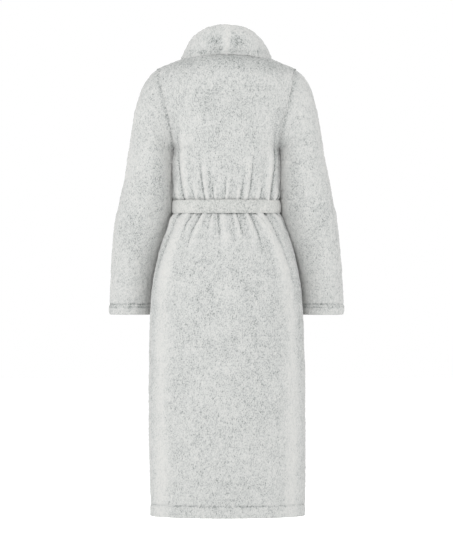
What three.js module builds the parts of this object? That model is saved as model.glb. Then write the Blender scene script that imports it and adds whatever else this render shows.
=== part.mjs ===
// A long plush bathrobe with a shawl collar, set-in sleeves, a tie belt and two patch pockets.
// Millimetres, +Z up. The robe hangs as if worn: its front faces -Y and the wearer's left is +X.
// The origin is on the robe's middle plane at the height of the shoulder-neck points.
import * as THREE from "three";

const { clamp, degToRad, lerp, smoothstep } = THREE.MathUtils;
const HALF_TURN = Math.PI;
const QUARTER_TURN = Math.PI / 2;

// Cloth
const CLOTH = 6; // thickness of the plush
const RIBBON = 1.5; // thickness of tapes, ties and labels
const GAP = 0.5; // clearance between touching pieces

// Heights
const HEM_Z = -1215;
const HEM_BAND = 31;
const WAIST_Z = -395; // middle of the belt
const UNDERARM_Z = -240;
const SHOULDER_START = -75; // above this level the panels close over the shoulders
const CROSSING_Z = -330; // where the two front edges cross

// Neck and shoulders
const NECK_HALF_WIDTH = 85;
const NECK_BACK = 62;
const NECK_BACK_Z = 8;
const SHOULDER_NECK_Z = 12;
const SHOULDER_X = 186;
const SHOULDER_Z = -29;
const NECK_SHARE = 0.4; // share of the back panel's upper edge that is neck
const ARMHOLE_HALF_DEPTH = 57;

// Front overlap
const OVERLAP = 60; // how far each front edge passes the middle
const OVERLAP_LIFT = CLOTH + 3; // the right front lies over the left one
const CORNER_TOP_Z = -560; // where the swinging corner of the overlap begins
const CORNER_HEM_X = -60; // where its fold line meets the hem

// Belt
const BELT_WIDTH = 35;
const BELT = 4;
const KNOT_ANGLE = degToRad(40.5); // round from the middle of the front
const KNOT_HALF_ANGLE = degToRad(9);
const KNOT_SIZE = new THREE.Vector3(44, 26, 48);
const TAIL_ANGLES = { right: 32, left: 49 };
const TAIL_LENGTHS = { right: 430, left: 470 };

// Sleeves
const CUFF_Z = -681;
const SLEEVE_CROWN = 13; // how far the sleeve head bulges beyond a straight line
const CROWN_OUT = new THREE.Vector3(0.89, 0, 0.46); // the way it bulges

const pile = new THREE.MeshStandardMaterial({ color: 0xd2d4d2, roughness: 0.95, metalness: 0 });
const smoothPile = new THREE.MeshStandardMaterial({ color: 0xdcdcda, roughness: 0.9, metalness: 0 });
const tape = new THREE.MeshStandardMaterial({ color: 0xe4e3df, roughness: 0.8, metalness: 0 });
const label = new THREE.MeshStandardMaterial({ color: 0xf4f3f0, roughness: 0.6, metalness: 0 });

// A smooth function through [position, value] pairs, in rising order of position.
function curveThrough(pairs) {
  const positions = pairs.map((pair) => pair[0]);
  const values = pairs.map((pair) => pair[1]);
  const cubic = new THREE.CubicInterpolant(positions, values, 1);
  const first = positions[0];
  const last = positions[positions.length - 1];
  return (at) => cubic.evaluate(clamp(at, first, last))[0];
}

// Outer half width and half depth of the robe at each height.
const bodyHalfWidth = curveThrough([
  [HEM_Z, 204],
  [-953, 208],
  [-776, 206],
  [-634, 200],
  [-542, 186],
  [-460, 162],
  [-416, 138.5],
  [WAIST_Z, 137],
  [-374, 137],
  [-338, 138],
  [UNDERARM_Z, 141.5],
]);
const halfDepth = curveThrough([
  [HEM_Z, 150],
  [-776, 149],
  [-634, 144],
  [-542, 134],
  [-460, 118],
  [-416, 104],
  [WAIST_Z, 103],
  [-374, 103],
  [-338, 105],
  [UNDERARM_Z, 112],
  [-150, 117],
  [SHOULDER_START, 108],
]);

// The armhole: an upright oval in Y and Z, leaning inwards towards the underarm.
const ARMHOLE_MIDDLE_Z = (SHOULDER_Z + UNDERARM_Z) / 2;
const ARMHOLE_HALF_HEIGHT = (SHOULDER_Z - UNDERARM_Z) / 2;
const armholeX = curveThrough([
  [UNDERARM_Z, 141.5],
  [-172, 151],
  [-130, 162],
  [SHOULDER_START, 174],
  [SHOULDER_Z, SHOULDER_X],
]);
function armholeY(z) {
  const height = (z - ARMHOLE_MIDDLE_Z) / ARMHOLE_HALF_HEIGHT;
  return ARMHOLE_HALF_DEPTH * Math.sqrt(Math.max(0, 1 - height * height));
}

// A level section of the body is an ellipse; this is the angle on it, from the middle of the
// front or back, of the side seam or of the armhole's edge.
function sideAngle(z) {
  return z < UNDERARM_Z ? QUARTER_TURN : Math.acos(armholeY(z) / halfDepth(z));
}
function sectionHalfWidth(z) {
  return z < UNDERARM_Z ? bodyHalfWidth(z) : armholeX(z) / Math.sin(sideAngle(z));
}

// How far each front panel reaches across the middle: the neckline's V, then the overlap.
const vNeckReach = curveThrough([
  [-440, -OVERLAP],
  [-377, -42],
  [CROSSING_Z, 0],
  [-290, 14],
  [SHOULDER_START, 51],
  [SHOULDER_NECK_Z, NECK_HALF_WIDTH],
]);
function cornerFoldX(z) {
  return lerp(OVERLAP, CORNER_HEM_X, (CORNER_TOP_Z - z) / (CORNER_TOP_Z - HEM_Z));
}
function overlapLift(x, z) {
  const across = smoothstep(x, -OVERLAP - 20, -OVERLAP - 4);
  return OVERLAP_LIFT * across * smoothstep(-z, 275, 318);
}

const SEAM_Y = 1; // each panel's edge lies this far from the shoulder seam's line

// The upper edge of each panel, from the middle (0) to the shoulder point (1).
function shoulderSeam(share, y) {
  const x = lerp(NECK_HALF_WIDTH, SHOULDER_X, share);
  return new THREE.Vector3(x, y, lerp(SHOULDER_NECK_Z, SHOULDER_Z, share));
}
function backTop(share) {
  if (share >= NECK_SHARE) return shoulderSeam((share - NECK_SHARE) / (1 - NECK_SHARE), SEAM_Y);
  const turn = (share / NECK_SHARE) * QUARTER_TURN;
  const y = lerp(SEAM_Y, NECK_BACK, Math.cos(turn));
  const z = lerp(NECK_BACK_Z, SHOULDER_NECK_Z, share / NECK_SHARE);
  return new THREE.Vector3(NECK_HALF_WIDTH * Math.sin(turn), y, z);
}
function frontTop(share) {
  return shoulderSeam(share, -SEAM_Y);
}

// A point of the body's outer surface. share runs from the panel's inner edge (0) to its side
// (1); level is the height up to SHOULDER_START, and from there to 0 it closes over the shoulder.
function bodyPoint(face, share, level, innerX, top, lift = 0) {
  const z = Math.min(level, SHOULDER_START);
  const a = sectionHalfWidth(z) + lift;
  const b = halfDepth(z) + lift;
  const inner = Math.asin(innerX(z) / a);
  const angle = lerp(inner, sideAngle(z), share);
  const low = new THREE.Vector3(a * Math.sin(angle), face * b * Math.cos(angle), z);
  if (level <= SHOULDER_START) return low;
  const turn = (1 - level / SHOULDER_START) * QUARTER_TURN;
  const high = top(share);
  return new THREE.Vector3(
    lerp(high.x, low.x, Math.cos(turn)),
    lerp(high.y, low.y, Math.cos(turn)),
    lerp(low.z, high.z + lift, Math.sin(turn)),
  );
}
const middle = () => 0;
function backPoint(share, level, lift = 0) {
  const point = bodyPoint(1, Math.abs(share), level, middle, backTop, lift);
  point.x *= Math.sign(share) || 1;
  return point;
}
function frontPoint(share, level, lift = 0) {
  return bodyPoint(-1, share, level, vNeckReach, frontTop, lift);
}
// A point round the body at one height: angle 0 is the middle of the front, a quarter turn +X.
function aroundPoint(angle, z, lift = 0) {
  const a = sectionHalfWidth(z) + lift;
  const b = halfDepth(z) + lift;
  return new THREE.Vector3(a * Math.sin(angle), -b * Math.cos(angle), z);
}

// The level direction along the body's surface, towards rising angle.
function sidewaysAt(angle, z) {
  return aroundPoint(angle + 0.01, z).sub(aroundPoint(angle - 0.01, z)).normalize();
}

// The unit normal of a surface (u, v) -> point, on the side that its cross product points to. Each
// surface here is drawn so that this is the outside.
function normalOf(surface, u, v) {
  const step = 1e-3;
  const alongU = surface(u + step, v).sub(surface(u - step, v));
  const alongV = surface(u, v + step).sub(surface(u, v - step));
  return alongU.cross(alongV).normalize();
}

// Bends a box into a sheet of cloth that lies on a surface. inside and outside are the depths of
// its two faces along the surface's normal.
function bentSheet(surface, inside, outside, across, along) {
  const geometry = new THREE.BoxGeometry(1, 1, 1, across, along, 1);
  const place = geometry.getAttribute("position");
  for (let i = 0; i < place.count; i += 1) {
    const u = place.getX(i) + 0.5;
    const v = place.getY(i) + 0.5;
    const depth = lerp(inside, outside, place.getZ(i) + 0.5);
    const point = surface(u, v).addScaledVector(normalOf(surface, u, v), depth);
    place.setXYZ(i, point.x, point.y, point.z);
  }
  geometry.computeVertexNormals();
  return geometry;
}

// Bends a ring into a tube of cloth with open ends: u runs round the tube and v along it.
function bentTube(surface, inside, outside, around, along) {
  const loop = 2 * (along + 1);
  const geometry = new THREE.TorusGeometry(2, 1, loop, around);
  const place = geometry.getAttribute("position");
  const uv = geometry.getAttribute("uv");
  for (let i = 0; i < place.count; i += 1) {
    const u = uv.getX(i) % 1;
    const turn = Math.round(uv.getY(i) * loop) % loop;
    const outer = turn <= along;
    const v = outer ? turn / along : (loop - 1 - turn) / along;
    const normal = normalOf(surface, u, v);
    const point = surface(u, v).addScaledVector(normal, outer ? outside : inside);
    place.setXYZ(i, point.x, point.y, point.z);
  }
  geometry.computeVertexNormals();
  return geometry;
}

const robe = new THREE.Group();
function addPiece(name, geometry, material) {
  const mesh = new THREE.Mesh(geometry, material);
  mesh.name = name;
  robe.add(mesh);
  return mesh;
}

// The same surface on the other side of the robe, still facing out.
function mirrored(surface) {
  return (u, v) => {
    const point = surface(1 - u, v);
    point.x = -point.x;
    return point;
  };
}
function onSide(side, surface) {
  return side === "left" ? surface : mirrored(surface);
}

// Levels at which a sheet has a row of corners, from low to high, and the level at a share of them.
const hemRows = [HEM_Z, HEM_Z + HEM_BAND];
const panelRows = [
  ...[HEM_Z + HEM_BAND + GAP, -1060, -940, -830, -730, -640, -560, -500, -450, -416, WAIST_Z],
  ...[-374, -338, -290, UNDERARM_Z, -234, -222, -205, -180, -150, -110, SHOULDER_START],
  ...[-56, -38, -22, -8, 0],
];
function rowLevel(rows, share) {
  const at = clamp(share, 0, 1) * (rows.length - 1);
  const below = Math.min(Math.floor(at), rows.length - 2);
  return lerp(rows[below], rows[below + 1], at - below);
}

// Body panels
const SIDE_GAP_SHARE = 0.004;
function backSurface(rows) {
  return (u, v) => backPoint(lerp(1 - SIDE_GAP_SHARE, -1 + SIDE_GAP_SHARE, u), rowLevel(rows, v));
}
function backPanel() {
  const geometry = bentSheet(backSurface(panelRows), -CLOTH, 0, 16, panelRows.length - 1);
  addPiece("back_panel", geometry, pile);
}
function leftFrontSurface(rows) {
  return (u, v) => frontPoint(lerp(0, 1 - SIDE_GAP_SHARE, u), rowLevel(rows, v));
}
function leftFrontPanel() {
  const geometry = bentSheet(leftFrontSurface(panelRows), -CLOTH, 0, 8, panelRows.length - 1);
  addPiece("left_front_panel", geometry, pile);
}

// The right front is drawn on the +X side and mirrored. Below CORNER_TOP_Z it ends at the fold
// line of its swinging corner.
function rightReach(z) {
  if (z > CORNER_TOP_Z) return vNeckReach(z);
  return -cornerFoldX(z) + GAP;
}
function rightFrontPoint(share, level) {
  const flat = bodyPoint(-1, share, level, rightReach, frontTop);
  return bodyPoint(-1, share, level, rightReach, frontTop, overlapLift(-flat.x, flat.z));
}
function rightFrontSurface(rows) {
  return mirrored((u, v) => rightFrontPoint(lerp(0, 1 - SIDE_GAP_SHARE, u), rowLevel(rows, v)));
}
function rightFrontPanel() {
  const geometry = bentSheet(rightFrontSurface(panelRows), -CLOTH, 0, 12, panelRows.length - 1);
  addPiece("right_front_panel", geometry, pile);
}
const cornerRows = [...panelRows.slice(0, 6), CORNER_TOP_Z - 30];
function cornerSurface(rows) {
  return (u, v) => {
    const z = rowLevel(rows, v);
    const x = lerp(cornerFoldX(z) + GAP, OVERLAP, u);
    const a = sectionHalfWidth(z) + overlapLift(x, z);
    return aroundPoint(Math.asin(x / a), z, overlapLift(x, z));
  };
}
function rightFrontCorner() {
  const geometry = bentSheet(cornerSurface(cornerRows), -CLOTH, 0, 5, cornerRows.length - 1);
  addPiece("right_front_corner", geometry, pile);
}

// The turned-up hem round the bottom, one band under each panel.
const HEM_THICKNESS = CLOTH + 2;
function hems() {
  addPiece("back_hem", bentSheet(backSurface(hemRows), -HEM_THICKNESS, 0, 16, 1), pile);
  addPiece("left_front_hem", bentSheet(leftFrontSurface(hemRows), -HEM_THICKNESS, 0, 8, 1), pile);
  addPiece("right_front_hem", bentSheet(rightFrontSurface(hemRows), -CLOTH, 0, 12, 1), pile);
  addPiece("right_corner_hem", bentSheet(cornerSurface(hemRows), -CLOTH, 0, 5, 1), pile);
}

// Sleeves. Each ring of the sleeve lies between an outer and an inner point seen from behind.
const ringValues = {
  outerX: [243, 252, 262, 275, 290, 302, 308, 311, 312],
  outerZ: [-146, -200, -262, -335, -420, -515, -600, -654, CUFF_Z],
  innerX: [145, 146, 147, 150, 159, 178, 192, 196, 197],
  innerZ: [-247, -273, -315, -367, -437, -522, -603, -655, CUFF_Z],
  depth: [58, 64, 69, 72, 71, 68, 66, 65, 65],
  middleY: [-1, -4, -10, -20, -36, -60, -76, -84, -88],
};
const ringCurves = {};
for (const [name, values] of Object.entries(ringValues)) {
  ringCurves[name] = curveThrough(values.map((value, i) => [i / (values.length - 1), value]));
}
const CUFF_START = 7 / 8; // the ring at which the turned cuff begins
const ARMHOLE_GAP = 3; // between the panels' edges and the sleeve head
function sleevePoint(turn, along) {
  const at = (name) => ringCurves[name](along);
  const reach = Math.cos(turn);
  return new THREE.Vector3(
    (at("outerX") + at("innerX")) / 2 + (reach * (at("outerX") - at("innerX"))) / 2,
    at("middleY") + at("depth") * Math.sin(turn),
    (at("outerZ") + at("innerZ")) / 2 + (reach * (at("outerZ") - at("innerZ"))) / 2,
  );
}
function armholePoint(turn) {
  const z = ARMHOLE_MIDDLE_Z + ARMHOLE_HALF_HEIGHT * Math.cos(turn);
  return new THREE.Vector3(armholeX(z) + ARMHOLE_GAP, ARMHOLE_HALF_DEPTH * Math.sin(turn), z);
}
function sleeveHeadPoint(turn, along) {
  const point = armholePoint(turn).lerp(sleevePoint(turn, 0), along);
  const crown = SLEEVE_CROWN * Math.sin(HALF_TURN * along) * (0.5 + 0.5 * Math.cos(turn));
  return point.addScaledVector(CROWN_OUT, crown);
}
function sleeve(side) {
  const round = (u) => -u * 2 * HALF_TURN;
  const head = onSide(side, (u, v) => sleeveHeadPoint(round(u), lerp(0, 0.985, v)));
  addPiece(side + "_sleeve_head", bentTube(head, -CLOTH, 0, 16, 3), pile);
  const tube = onSide(side, (u, v) => sleevePoint(round(u), lerp(0.004, CUFF_START - 0.001, v)));
  addPiece(side + "_sleeve", bentTube(tube, -CLOTH, 0, 16, 10), pile);
  const cuff = onSide(side, (u, v) => sleevePoint(round(u), lerp(CUFF_START + 0.001, 1, v)));
  addPiece(side + "_cuff_hem", bentTube(cuff, -HEM_THICKNESS, 0, 16, 1), pile);
}

// Shawl collar. Four lines run from the centre back to the front: the seam, the roll, the middle
// of the fall and its outer edge. At the front they lie on the panel.
const COLLAR_ROLL = 9; // height of the roll's underside above the front edge
function collarLines(side) {
  const at = (x, y, z) => new THREE.Vector3(x, y, z);
  const onFront = (share, level, lift) => {
    const flat = frontPoint(share, level);
    const raised = side === "right" ? overlapLift(-flat.x, level) : 0;
    return frontPoint(share, level, lift + raised);
  };
  // levels of the front stations, how far across the panel the collar reaches there, and how high
  // it rests above the cloth
  const levels = [-32, -54, SHOULDER_START, -110, -150, -225, CROSSING_Z + 25];
  const edgeShares = [0.62, 0.65, 0.66, 0.65, 0.6, 0.5, 0.36];
  const rests = [8, 8, 5, 3, 3, 3, 3];
  return {
    seam: [
      at(0, 64, 9.2),
      at(52, 52, 11),
      at(84, 8, 14.5),
      at(79, -38, 9),
      ...levels.map((level) => onFront(-0.015, level, -1)),
    ],
    roll: [
      at(0, 70, 80),
      at(46, 60, 74),
      at(87, 14, 46),
      at(84, -42, 26),
      ...levels.map((level) => onFront(0.01, level, COLLAR_ROLL)),
    ],
    fall: [
      at(0, 80, 44),
      at(56, 72, 40),
      at(103, 18, 26),
      at(108, -38, 12),
      ...levels.map((level, i) => onFront(edgeShares[i] / 2, level, rests[i])),
    ],
    edge: [
      at(0, 85, 6),
      at(66, 79, 5),
      at(117, 20, 2.5),
      onFront(0.5, -12, 4),
      ...levels.map((level, i) => onFront(edgeShares[i], level, rests[i])),
    ],
  };
}
function collarSurface(side) {
  const lines = collarLines(side);
  const names = ["seam", "roll", "fall", "edge"];
  const curves = names.map((name) => new THREE.CatmullRomCurve3(lines[name]));
  return (along, across) => {
    const onCurve = clamp(along, 0, 1);
    const [seam, roll, fall, edge] = curves.map((curve) => curve.getPoint(onCurve));
    const rising = seam.clone().lerp(roll, 0.86);
    const falling = roll.clone().lerp(fall, 0.22);
    const section = new THREE.CatmullRomCurve3([seam, rising, roll, falling, fall, edge]);
    return section.getPoint(clamp(across, 0, 1));
  };
}
const COLLAR_END = { left: 0.93, right: 1 };
function collar(side) {
  const surface = collarSurface(side);
  const half = onSide(side, (u, v) => surface(lerp(0.006, COLLAR_END[side], u), v));
  addPiece(side + "_collar", bentSheet(half, 0, CLOTH, 18, 12), smoothPile);
}

// Belt
const BELT_REST = 2; // between the belt and the cloth it lies on
function beltLift(angle) {
  const x = bodyHalfWidth(WAIST_Z) * Math.sin(angle);
  if (Math.cos(angle) < 0) return BELT_REST;
  return BELT_REST + overlapLift(x, WAIST_Z) * (1 - smoothstep(x, OVERLAP + 3, OVERLAP + 30));
}
function beltPiece() {
  const start = KNOT_ANGLE + KNOT_HALF_ANGLE;
  const end = 2 * HALF_TURN + KNOT_ANGLE - KNOT_HALF_ANGLE;
  const surface = (u, v) => {
    const angle = lerp(start, end, u);
    const z = WAIST_Z + lerp(-BELT_WIDTH / 2, BELT_WIDTH / 2, v);
    return aroundPoint(angle, WAIST_Z, beltLift(angle)).setZ(z);
  };
  addPiece("belt", bentSheet(surface, 0, BELT, 40, 1), smoothPile);
}
const onWaist = (lift) => aroundPoint(KNOT_ANGLE, WAIST_Z, lift);
const knotOutward = onWaist(1).sub(onWaist(0)).normalize();
const knotMiddle = onWaist(2 * GAP + KNOT_SIZE.y / 2);
const KNOT_FILL = new THREE.Vector3(0.78, 0.8, 0.8); // share of its space that the knot takes
const KNOT_SQUARENESS = 0.7;
function beltKnot() {
  const geometry = new THREE.SphereGeometry(0.5, 14, 10);
  const place = geometry.getAttribute("position");
  for (let i = 0; i < place.count; i += 1) {
    const square = (value) => (Math.sign(value) * Math.pow(Math.abs(value * 2), KNOT_SQUARENESS)) / 2;
    place.setXYZ(i, square(place.getX(i)), square(place.getY(i)), square(place.getZ(i)));
  }
  const size = KNOT_SIZE.clone().multiply(KNOT_FILL);
  geometry.scale(size.x, size.y, size.z);
  geometry.computeVertexNormals();
  const knot = addPiece("belt_knot", geometry, smoothPile);
  knot.position.copy(knotMiddle);
  knot.rotation.z = Math.atan2(knotOutward.y, knotOutward.x) + QUARTER_TURN;
}
const TAIL_TOP_Z = WAIST_Z - KNOT_SIZE.z / 2 - 1;
const TAIL_LIFT = 22; // the tails hang clear of the pocket
const TAIL_TOP_LIFT = 5;
const TAIL_TOP_WIDTH = 20; // bunched where it leaves the knot
function beltTail(side) {
  const angle = degToRad(TAIL_ANGLES[side]);
  const surface = (u, v) => {
    const z = lerp(TAIL_TOP_Z - TAIL_LENGTHS[side], TAIL_TOP_Z, v);
    const fallen = TAIL_TOP_Z - z;
    const width = lerp(TAIL_TOP_WIDTH, BELT_WIDTH, smoothstep(fallen, 0, 70));
    const towards = lerp(lerp(angle, KNOT_ANGLE, 0.45), angle, smoothstep(fallen, 0, 90));
    const lift = lerp(TAIL_TOP_LIFT, TAIL_LIFT, smoothstep(fallen, 0, 130));
    const middlePoint = aroundPoint(towards, z, lift);
    return middlePoint.addScaledVector(sidewaysAt(towards, z), (u - 0.5) * width);
  };
  addPiece(side + "_belt_tail", bentSheet(surface, 0, BELT, 1, 14), smoothPile);
}
const BELT_LOOP_REST = 1; // between a belt loop and what it lies on
const BELT_LOOP_SPAN = [-0.13, -0.04]; // its edges, as angles in front of the side seam
function beltLoop(side) {
  const reach = BELT_WIDTH / 2 + 12;
  const surface = (u, v) => {
    const z = WAIST_Z + lerp(-reach, reach, v);
    const over = 1 - smoothstep(Math.abs(z - WAIST_Z), BELT_WIDTH / 2 + 1, reach - 3);
    const lift = BELT_LOOP_REST + (BELT_REST + BELT) * over;
    return aroundPoint(QUARTER_TURN + lerp(...BELT_LOOP_SPAN, u), z, lift);
  };
  addPiece(side + "_belt_loop", bentSheet(onSide(side, surface), 0, RIBBON, 2, 12), tape);
}

// Patch pockets: each stands off the panel in its middle and meets it along three edges.
const POCKET_TOP_Z = -560;
const POCKET_HEIGHT = 180;
const POCKET_REST = 2; // between the pocket's edges and the panel
const POCKET_ROOM = 12; // how far its middle stands off
const POCKET_HEM = 26;
const POCKET_ANGLES = { inner: 0.45, outer: 1.0 };
const POCKET_SEAM = 0.12; // share of the pocket over which it rises from its edge
function pocketSurface(lowShare, highShare) {
  return (u, v) => {
    const up = lerp(lowShare, highShare, v);
    const fromEdge = Math.min(smoothstep(u, 0, POCKET_SEAM), smoothstep(1 - u, 0, POCKET_SEAM));
    const room = POCKET_ROOM * Math.min(fromEdge, smoothstep(up, 0, POCKET_SEAM));
    const z = POCKET_TOP_Z - POCKET_HEIGHT * (1 - up);
    return aroundPoint(lerp(POCKET_ANGLES.inner, POCKET_ANGLES.outer, u), z, POCKET_REST + room);
  };
}
function pocket(side) {
  const bandShare = 1 - POCKET_HEM / POCKET_HEIGHT;
  const bag = onSide(side, pocketSurface(0, bandShare - 0.003));
  addPiece(side + "_pocket", bentSheet(bag, 0, CLOTH - 1, 10, 7), pile);
  const band = onSide(side, pocketSurface(bandShare, 1));
  addPiece(side + "_pocket_hem", bentSheet(band, 0, CLOTH - 1, 10, 1), pile);
}

// Pieces inside the robe, held just inside the cloth.
const INSIDE = -CLOTH - 1;
const FACING_LOW_Z = -95;
const FACING_SHARE = 0.37; // how far it reaches on each side, as a share of the back panel's half
function backNeckFacing() {
  const rows = [FACING_LOW_Z, ...panelRows.slice(-6, -1)];
  const surface = (u, v) => backPoint(lerp(FACING_SHARE, -FACING_SHARE, u), rowLevel(rows, v));
  const geometry = bentSheet(surface, INSIDE - 2 - RIBBON, INSIDE - 2, 10, rows.length - 1);
  addPiece("back_neck_facing", geometry, tape);
}
const NECK_LABEL = { share: 0.13, levels: [-90, -66] };
const CARE_LABEL = { shares: [0.84, 0.91], levels: [-960, -900] };
function neckLabel() {
  const across = (u) => lerp(NECK_LABEL.share, -NECK_LABEL.share, u);
  const surface = (u, v) => backPoint(across(u), lerp(...NECK_LABEL.levels, v));
  const face = INSIDE - 4 - RIBBON;
  addPiece("neck_label", bentSheet(surface, face - 1, face, 4, 2), label);
}
function careLabel() {
  const surface = (u, v) => frontPoint(lerp(...CARE_LABEL.shares, u), lerp(...CARE_LABEL.levels, v));
  addPiece("care_label", bentSheet(surface, INSIDE - 4, INSIDE - 3, 1, 2), label);
}
const STAY_HALF_WIDTH = 7;
const STAY_SHARES = [0.12, 0.9]; // along the shoulder seam
function shoulderTape(side) {
  const across = (u) => lerp(STAY_HALF_WIDTH, -STAY_HALF_WIDTH, u);
  const surface = onSide(side, (u, v) => shoulderSeam(lerp(...STAY_SHARES, v), across(u)));
  addPiece(side + "_shoulder_tape", bentSheet(surface, INSIDE - 2 - RIBBON, INSIDE - 2, 1, 4), tape);
}
const TIE_WIDTH = 10;
const TIE_LENGTH = 200;
const TIE_DEGREES = { left: -14, right: -76 }; // round from the middle of the front
function innerTie(side) {
  const angle = degToRad(TIE_DEGREES[side]);
  const surface = (u, v) => {
    const z = WAIST_Z - lerp(TIE_LENGTH, 0, v);
    return aroundPoint(angle, z).addScaledVector(sidewaysAt(angle, z), (u - 0.5) * TIE_WIDTH);
  };
  const geometry = bentSheet(surface, INSIDE - 1 - RIBBON, INSIDE - 1, 1, 12);
  addPiece(side + "_inner_tie", geometry, tape);
}
const LOOP_HALF_WIDTH = 28;
const LOOP_DROP = 30;
const LOOP_TAPE = 8;
const LOOP_Y = 43;
const LOOP_Z = -4;
function hangerLoop() {
  const inner = new THREE.Vector2(LOOP_HALF_WIDTH - LOOP_TAPE, LOOP_DROP - LOOP_TAPE);
  const outer = new THREE.Vector2(LOOP_HALF_WIDTH, LOOP_DROP);
  const surface = (u, v) => {
    const turn = lerp(-HALF_TURN, 0, u);
    const x = lerp(outer.x, inner.x, v) * Math.cos(turn);
    const z = LOOP_Z + lerp(outer.y, inner.y, v) * Math.sin(turn);
    return new THREE.Vector3(x, LOOP_Y, z);
  };
  addPiece("hanger_loop", bentSheet(surface, -RIBBON, 0, 16, 1), tape);
}

backPanel();
leftFrontPanel();
rightFrontPanel();
rightFrontCorner();
hems();
for (const side of ["left", "right"]) {
  sleeve(side);
  collar(side);
  beltTail(side);
  beltLoop(side);
  pocket(side);
  shoulderTape(side);
  innerTie(side);
}
beltPiece();
beltKnot();
backNeckFacing();
neckLabel();
careLabel();
hangerLoop();

export default robe;
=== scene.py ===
# A long plush bathrobe seen from behind: dense cloth sheets with gathers, seams and a clumped
# pile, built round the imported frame. Metres, +Z up, the front faces -Y and the wearer's left is +X.
import itertools
import math

import bmesh
import bpy
import numpy as np
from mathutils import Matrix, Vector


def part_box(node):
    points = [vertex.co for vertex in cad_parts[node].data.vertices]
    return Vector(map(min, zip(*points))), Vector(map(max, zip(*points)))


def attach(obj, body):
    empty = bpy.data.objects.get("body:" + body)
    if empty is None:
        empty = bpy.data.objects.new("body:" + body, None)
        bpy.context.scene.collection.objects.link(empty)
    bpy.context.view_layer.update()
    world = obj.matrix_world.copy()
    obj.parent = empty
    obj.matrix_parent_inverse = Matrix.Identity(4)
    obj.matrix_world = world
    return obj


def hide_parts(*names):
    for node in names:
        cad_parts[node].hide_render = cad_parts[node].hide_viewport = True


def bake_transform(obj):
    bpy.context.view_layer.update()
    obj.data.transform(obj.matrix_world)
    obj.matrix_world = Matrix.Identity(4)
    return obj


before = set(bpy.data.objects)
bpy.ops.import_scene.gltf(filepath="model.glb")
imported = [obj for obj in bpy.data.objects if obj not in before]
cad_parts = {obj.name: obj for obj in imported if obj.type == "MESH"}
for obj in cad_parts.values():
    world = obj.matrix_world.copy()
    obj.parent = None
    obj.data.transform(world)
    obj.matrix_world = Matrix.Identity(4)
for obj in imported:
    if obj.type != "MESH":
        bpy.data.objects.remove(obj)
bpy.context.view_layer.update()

# Sizes read from the frame
HEM_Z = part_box("back_hem")[0].z
HEM_TOP_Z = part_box("back_hem")[1].z
BELT_LOW_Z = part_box("belt")[0].z
BELT_TOP_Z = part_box("belt")[1].z
WAIST_Z = (BELT_LOW_Z + BELT_TOP_Z) / 2
BELT_WIDTH = BELT_TOP_Z - BELT_LOW_Z
CUFF_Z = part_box("left_cuff_hem")[0].z
POCKET_TOP_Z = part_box("left_pocket_hem")[1].z
POCKET_HEIGHT = POCKET_TOP_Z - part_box("left_pocket")[0].z

# Cloth
CLOTH = 0.006
RIBBON = 0.0015
PILE = 0.0026  # height of the pile's clumps, from valley to tip
BELT_PILE = 0.0022
CLUMP = 0.0075  # sizes of the pile's clumps, tufts and fibres
TUFT = 0.0042
FIBRE = 0.0027
SMOOTH_NAP = 0.60  # how the pile lies where nothing parts it

# Body
UNDERARM_Z = -0.240
SHOULDER_START = -0.075  # height at which the panels start to close over the shoulder
NECK_HALF_WIDTH = 0.085
NECK_BACK = 0.062  # y of the neckline at the middle of the back, and its height
NECK_BACK_Z = 0.008
SHOULDER_NECK_Z = 0.012
SHOULDER_X = 0.186  # outer end of the shoulder seam
SHOULDER_Z = -0.029
NECK_SHARE = 0.4  # how much of a back panel's top edge is neckline; the rest is shoulder seam
ARMHOLE_HALF_DEPTH = 0.057
SEAM_Y = 0.001
OVERLAP = 0.060  # how far a front panel reaches past the middle
OVERLAP_LIFT = CLOTH + 0.003  # how far the right one stands off the left one


# Small helpers for arrays

def lerp(a, b, share):
    return a + (b - a) * share


def smoothstep(value, low, high):
    part = np.clip((value - low) / (high - low), 0, 1)
    return part * part * (3 - 2 * part)


def bump(distance, half_width):
    """1 at distance 0, falling smoothly to nearly 0 past two half widths."""
    return np.exp(-((distance / half_width) ** 2))


def vectors(x, y, z):
    return np.stack(np.broadcast_arrays(x, y, z), axis=-1)


def curve_through(pairs):
    """A smooth function through (position, value) pairs, in rising order of position."""
    at, value = np.array(pairs, float).T
    slope = np.gradient(value, at)
    slope[1:-1] = (value[2:] - value[:-2]) / (at[2:] - at[:-2])

    def evaluate(position):
        x = np.clip(position, at[0], at[-1])
        i = np.clip(np.searchsorted(at, x, side="right") - 1, 0, len(at) - 2)
        step = at[i + 1] - at[i]
        t = (x - at[i]) / step
        rise = (2 * t**3 - 3 * t**2 + 1) * value[i] + (3 * t**2 - 2 * t**3) * value[i + 1]
        return rise + ((t**3 - 2 * t**2 + t) * slope[i] + (t**3 - t**2) * slope[i + 1]) * step

    return evaluate


def lattice(cell, seed):
    """A random number from -1 to 1 for each whole-number cell, the same on every run."""
    x, y, z = (cell[..., k].astype(np.uint64) for k in range(3))
    mixed = x * np.uint64(73856093) ^ y * np.uint64(19349663) ^ z * np.uint64(83492791)
    mixed = (mixed + np.uint64(seed * 2654435761)) & np.uint64(0xFFFFFFFF)
    for _ in range(2):
        mixed = ((mixed >> np.uint64(15)) ^ mixed) * np.uint64(0x2C1B3C6D) & np.uint64(0xFFFFFFFF)
        mixed = ((mixed >> np.uint64(12)) ^ mixed) * np.uint64(0x297A2D39) & np.uint64(0xFFFFFFFF)
    return mixed.astype(float) / 0xFFFFFFFF * 2 - 1


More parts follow.
